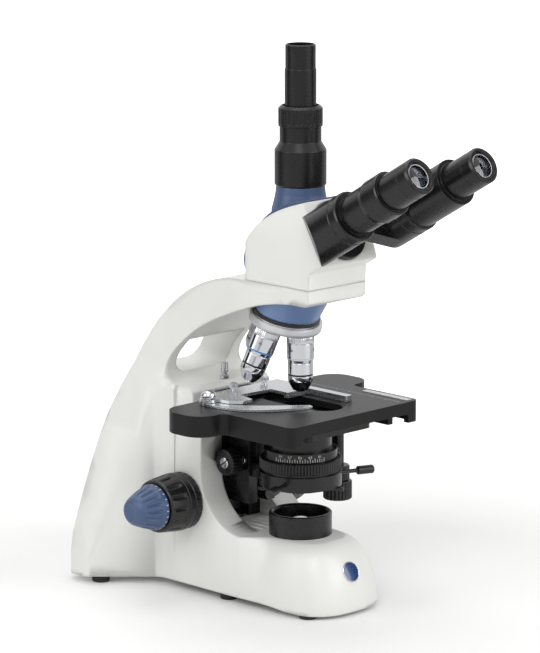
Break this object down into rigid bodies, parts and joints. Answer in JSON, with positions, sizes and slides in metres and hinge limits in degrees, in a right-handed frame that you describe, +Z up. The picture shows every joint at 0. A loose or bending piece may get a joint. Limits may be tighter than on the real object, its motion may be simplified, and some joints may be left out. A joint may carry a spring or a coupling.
{
  "type": "trinocular microscope",
  "caption": "Upright trinocular microscope with flared cast stand, inclined eyepiece pair, vertical phototube, turning nosepiece, mechanical stage and condenser.",
  "frame": {"origin": "on the optical axis at table level", "axes": "+Z up, the user sits at -Y, +X is the user's right hand"},
  "size_m": [0.2018, 0.3395, 0.436],
  "materials": {
    "white_paint": "satin",
    "blue_plastic": "satin",
    "blue_paint": "satin",
    "black_metal": "satin",
    "black_plastic": "fine matte",
    "black_rubber": "matte",
    "stage_black": "satin",
    "chrome": "polished",
    "steel": "brushed",
    "brass": "machined",
    "lens_glass": "coated",
    "crystal": "polished",
    "scale_silver": "satin"
  },
  "bodies": {
    "stand": {"stand_casting": "white_paint", "bottom_cover": "black_metal", "rubber_feet": "black_rubber", "collector_ring": "black_metal", "collector_lens": "crystal", "led_module": "scale_silver", "power_inlet": "black_plastic", "focus_housing": "black_metal", "head_dovetail_ring": "steel", "nosepiece_mount": "blue_paint"},
    "power_switch": {"power_switch": "black_plastic"},
    "brightness_dial": {"brightness_dial": "black_plastic"},
    "stage_stop_screw": {"stage_stop_screw": "steel"},
    "head_lock_screw": {"head_lock_screw": "chrome"},
    "coarse_drive": {"coarse_shaft": "steel", "coarse_knob_left": "black_plastic", "coarse_knob_right": "black_plastic"},
    "tension_ring": {"tension_ring": "black_plastic"},
    "fine_drive": {"fine_shaft": "steel", "fine_knob_left": "blue_plastic", "fine_knob_right": "blue_plastic"},
    "focus_slide": {"focus_slide": "black_metal", "focus_rack": "brass", "stage_bracket": "black_metal"},
    "stage": {"stage_top": "stage_black", "stage_scale": "scale_silver", "stage_drive_housing": "chrome"},
    "x_carriage": {"x_carriage": "stage_black", "specimen_bridge": "steel"},
    "spring_finger": {"spring_finger": "steel"},
    "stage_y_knob": {"stage_y_knob": "black_plastic"},
    "stage_x_knob": {"stage_x_knob": "black_plastic"},
    "condenser": {"condenser_carrier": "black_metal", "condenser_body": "black_metal", "condenser_lens": "crystal"},
    "condenser_knob": {"condenser_knob": "black_plastic"},
    "aperture_ring": {"aperture_ring": "black_plastic"},
    "filter_holder": {"filter_holder": "black_metal"},
    "centring_screw_left": {"centring_screw_left": "black_plastic"},
    "centring_screw_right": {"centring_screw_right": "black_plastic"},
    "turret": {"nosepiece_turret": "scale_silver", "objective_100x": "chrome", "objective_40x": "chrome", "objective_10x": "chrome", "objective_4x": "chrome", "objective_lenses": "lens_glass"},
    "head": {"head_body": "white_paint", "head_top_cover": "blue_plastic", "beam_splitter_prism": "crystal", "pivot_disc": "black_metal", "phototube_body": "black_metal"},
    "phototube_clamp_ring": {"phototube_clamp_ring": "black_metal"},
    "photo_tube": {"photo_tube": "black_metal"},
    "left_arm": {"left_tube_arm": "black_metal"},
    "right_arm": {"right_tube_arm": "black_metal"},
    "diopter_ring": {"diopter_ring": "black_metal"},
    "eyepiece_left": {"eyepiece_left": "black_metal", "eye_lens_left": "lens_glass"},
    "eyepiece_right": {"eyepiece_right": "black_metal", "eye_lens_right": "lens_glass"}
  },
  "joints": [
    {"name": "power_switch_rock", "type": "hinge", "parent": "stand", "child": "power_switch", "pos_m": [-0.016, 0.167, 0.031], "axis": [-1, 0, 0], "range_deg": [0, 14]},
    {"name": "brightness_turn", "type": "hinge", "parent": "stand", "child": "brightness_dial", "pos_m": [0.045, 0.02, 0.03], "axis": [1, 0, 0], "range_deg": [0, 270]},
    {"name": "stage_stop_turn", "type": "hinge", "parent": "stand", "child": "stage_stop_screw", "pos_m": [0, 0.084, 0.164], "axis": [0, 0, 1], "range_deg": [-180, 180]},
    {"name": "head_lock_turn", "type": "hinge", "parent": "stand", "child": "head_lock_screw", "pos_m": [0.0315, 0.004, 0.25125], "axis": [1, 0, 0], "range_deg": [-180, 180]},
    {"name": "focus_lift", "type": "slide", "parent": "stand", "child": "focus_slide", "axis": [0, 0, 1], "range_m": [-0.011, 0.006]},
    {"name": "coarse_turn", "type": "hinge", "parent": "stand", "child": "coarse_drive", "pos_m": [0, 0.085, 0.0735], "axis": [1, 0, 0], "range_deg": [-40, 72]},
    {"name": "tension_turn", "type": "hinge", "parent": "stand", "child": "tension_ring", "pos_m": [-0.0453, 0.085, 0.0735], "axis": [-1, 0, 0], "range_deg": [-45, 45]},
    {"name": "fine_turn", "type": "hinge", "parent": "stand", "child": "fine_drive", "pos_m": [0, 0.085, 0.0735], "axis": [1, 0, 0], "continuous": true},
    {"name": "stage_y", "type": "slide", "parent": "focus_slide", "child": "stage", "axis": [0, 1, 0], "range_m": [-0.025, 0.015]},
    {"name": "stage_x", "type": "slide", "parent": "stage", "child": "x_carriage", "axis": [1, 0, 0], "range_m": [-0.03, 0.03]},
    {"name": "finger_swing", "type": "hinge", "parent": "x_carriage", "child": "spring_finger", "pos_m": [-0.057, 0.043, 0.1601], "axis": [0, 0, 1], "range_deg": [-40, 0], "stiffness_Nm_per_rad": 0.02, "springref_deg": 17.19},
    {"name": "stage_y_knob_turn", "type": "hinge", "parent": "stage", "child": "stage_y_knob", "pos_m": [0.066, 0.024, 0.087], "axis": [0, 0, 1], "range_deg": [-245, 150]},
    {"name": "stage_x_knob_turn", "type": "hinge", "parent": "stage", "child": "stage_x_knob", "pos_m": [0.066, 0.024, 0.0735], "axis": [0, 0, 1], "range_deg": [-290, 290]},
    {"name": "condenser_lift", "type": "slide", "parent": "focus_slide", "child": "condenser", "axis": [0, 0, 1], "range_m": [-0.0065, 0.001]},
    {"name": "condenser_knob_turn", "type": "hinge", "parent": "focus_slide", "child": "condenser_knob", "pos_m": [0, 0.054, 0.106], "axis": [1, 0, 0], "range_deg": [-15, 80]},
    {"name": "aperture_turn", "type": "hinge", "parent": "condenser", "child": "aperture_ring", "pos_m": [0, 0, 0.1115], "axis": [0, 0, 1], "range_deg": [-45, 45]},
    {"name": "filter_swing", "type": "hinge", "parent": "condenser", "child": "filter_holder", "pos_m": [-0.02576, 0.01487, 0.0925], "axis": [0, 0, 1], "range_deg": [-100, 0]},
    {"name": "centring_turn_left", "type": "hinge", "parent": "condenser", "child": "centring_screw_left", "pos_m": [-0.05749, -0.02323, 0.0995], "axis": [-0.9272, -0.3746, 0], "range_deg": [-180, 180]},
    {"name": "centring_turn_right", "type": "hinge", "parent": "condenser", "child": "centring_screw_right", "pos_m": [0.05749, -0.02323, 0.0995], "axis": [0.9272, -0.3746, 0], "range_deg": [-180, 180]},
    {"name": "turret_turn", "type": "hinge", "parent": "stand", "child": "turret", "pos_m": [0, 0.0169, 0.21703], "axis": [0, -0.2588, 0.9659], "continuous": true},
    {"name": "head_turn", "type": "hinge", "parent": "stand", "child": "head", "pos_m": [0, 0, 0.2548], "axis": [0, 0, 1], "continuous": true},
    {"name": "clamp_ring_turn", "type": "hinge", "parent": "head", "child": "phototube_clamp_ring", "pos_m": [0, 0, 0.3815], "axis": [0, 0, 1], "range_deg": [-60, 60]},
    {"name": "photo_tube_slide", "type": "slide", "parent": "head", "child": "photo_tube", "axis": [0, 0, 1], "range_m": [0, 0.025]},
    {"name": "left_arm_swing", "type": "hinge", "parent": "head", "child": "left_arm", "pos_m": [0, -0.04, 0.2977], "axis": [0, -0.866, 0.5], "range_deg": [-12, 33]},
    {"name": "right_arm_swing", "type": "hinge", "parent": "head", "child": "right_arm", "pos_m": [0, -0.04, 0.2977], "axis": [0, -0.866, 0.5], "range_deg": [-33, 12]},
    {"name": "diopter_turn", "type": "hinge", "parent": "left_arm", "child": "diopter_ring", "pos_m": [-0.03449, -0.04326, 0.29206], "axis": [0, -0.866, 0.5], "range_deg": [-120, 120]},
    {"name": "eyepiece_left_slide", "type": "slide", "parent": "left_arm", "child": "eyepiece_left", "axis": [0, -0.866, 0.5], "range_m": [0, 0.025]},
    {"name": "eyepiece_right_slide", "type": "slide", "parent": "right_arm", "child": "eyepiece_right", "axis": [0, -0.866, 0.5], "range_m": [0, 0.025]}
  ],
  "couplings": [
    {"joint": "coarse_turn", "follows": "focus_lift", "rad_per_m": -111.11},
    {"joint": "stage_y_knob_turn", "follows": "stage_y", "rad_per_m": 166.67},
    {"joint": "stage_x_knob_turn", "follows": "stage_x", "rad_per_m": 166.67},
    {"joint": "condenser_knob_turn", "follows": "condenser_lift", "rad_per_m": -208.33},
    {"joint": "right_arm_swing", "follows": "left_arm_swing", "ratio": -1}
  ]
}
